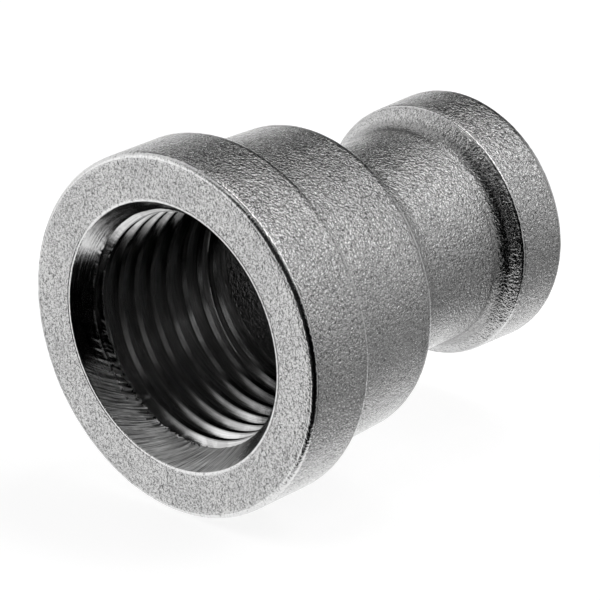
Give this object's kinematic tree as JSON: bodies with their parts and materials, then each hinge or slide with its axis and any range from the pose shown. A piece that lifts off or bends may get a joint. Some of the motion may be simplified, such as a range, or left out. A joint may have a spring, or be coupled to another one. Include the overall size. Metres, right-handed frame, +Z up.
{
  "type": "concentric reducer",
  "caption": "Straight reducing coupling with a raised band at each end and a taper pipe thread inside each socket, round about one axis.",
  "frame": {"origin": "on the bore axis, halfway between the two end faces", "axes": "+Y along the bore axis from the large end to the small end; +Z up; the part is round about Y, so X and Z are alike"},
  "size_m": [0.0304, 0.036, 0.0304],
  "materials": {
    "cast_skin": "investment-cast stainless steel, blasted to a fine even grain, satin",
    "machined_thread": "turned and tapped stainless steel, glossy, with fine tool marks round the bore"
  },
  "bodies": {
    "root": {"large_end_band": "cast_skin", "large_end_barrel": "cast_skin", "reducing_shoulder": "cast_skin", "small_end_neck": "cast_skin", "small_end_band": "cast_skin", "large_end_thread": "machined_thread", "small_end_thread": "machined_thread"}
  },
  "joints": []
}
